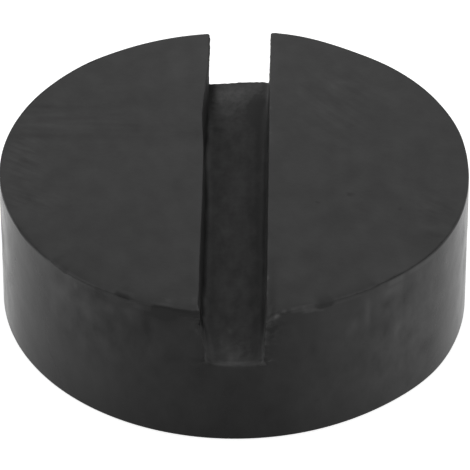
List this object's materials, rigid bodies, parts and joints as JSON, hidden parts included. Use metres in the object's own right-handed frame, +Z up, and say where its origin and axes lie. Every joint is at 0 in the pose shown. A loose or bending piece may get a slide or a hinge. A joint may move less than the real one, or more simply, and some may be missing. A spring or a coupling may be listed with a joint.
{
  "type": "rubber jack pad",
  "caption": "Round black rubber jack pad with a square slot across its top, so that a car's sill flange can drop in while the weight rests on the pad.",
  "frame": {"origin": "centre of the round base face, on the surface that the pad stands on", "axes": "+Z up out of the slotted top, the slot runs along Y, the front mouth with the worn corner is at -Y"},
  "size_m": [0.075, 0.075, 0.025],
  "materials": {
    "moulded_rubber": "compression-moulded black rubber, dull with a faint sheen at low angles"
  },
  "bodies": {
    "root": {"rubber_pad": "moulded_rubber"}
  },
  "joints": []
}
